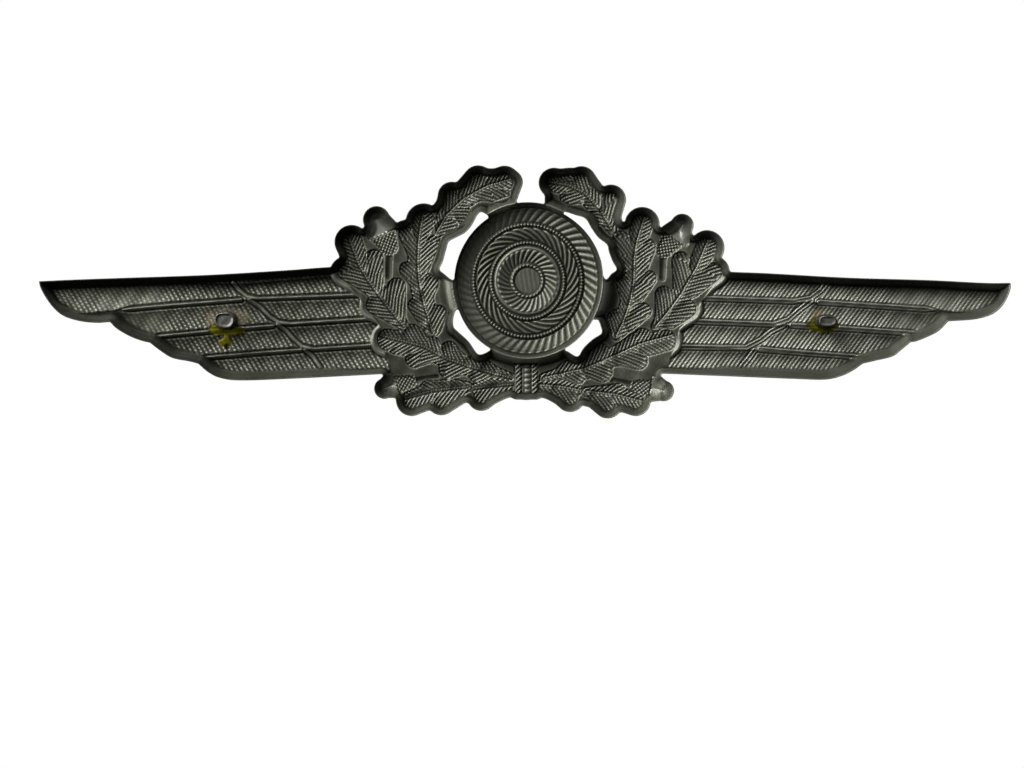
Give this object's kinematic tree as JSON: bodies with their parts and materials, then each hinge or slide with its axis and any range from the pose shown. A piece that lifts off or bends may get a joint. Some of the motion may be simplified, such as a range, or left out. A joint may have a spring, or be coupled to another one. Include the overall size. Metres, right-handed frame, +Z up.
{
  "type": "winged oak-wreath cap badge",
  "caption": "Struck metal cap badge, a ribbed cockade in an oak-leaf wreath between spread wings, hollow behind, with soldered prongs that fold over behind the cap cloth.",
  "frame": {"origin": "centre of the cockade, on the plane of the back rim, which is the cap's surface", "axes": "+Z up as worn, +Y into the cap (out of the hollow back), -Y is the way the front faces, +X to the right when the front is seen"},
  "size_m": [0.1214, 0.0105, 0.0316],
  "materials": {
    "struck_zinc": "aged dull grey, olive in the hollows, bright where rubbed",
    "prong_metal": "dull soft metal",
    "solder": "dull solder with flux stain"
  },
  "bodies": {
    "badge": {"stamping": "struck_zinc", "left_solder": "solder", "right_solder": "solder", "left_prong_root": "prong_metal", "right_prong_root": "prong_metal"},
    "left_tail": {"left_prong_tail": "prong_metal"},
    "right_tail": {"right_prong_tail": "prong_metal"}
  },
  "joints": [
    {"name": "left_prong_fold", "type": "hinge", "parent": "badge", "child": "left_tail", "pos_m": [0.03785, 0.0025, -0.005], "axis": [1, 0, 0], "range_deg": [-90, 90]},
    {"name": "right_prong_fold", "type": "hinge", "parent": "badge", "child": "right_tail", "pos_m": [-0.0372, 0.0025, -0.0051], "axis": [1, 0, 0], "range_deg": [-90, 90]}
  ]
}
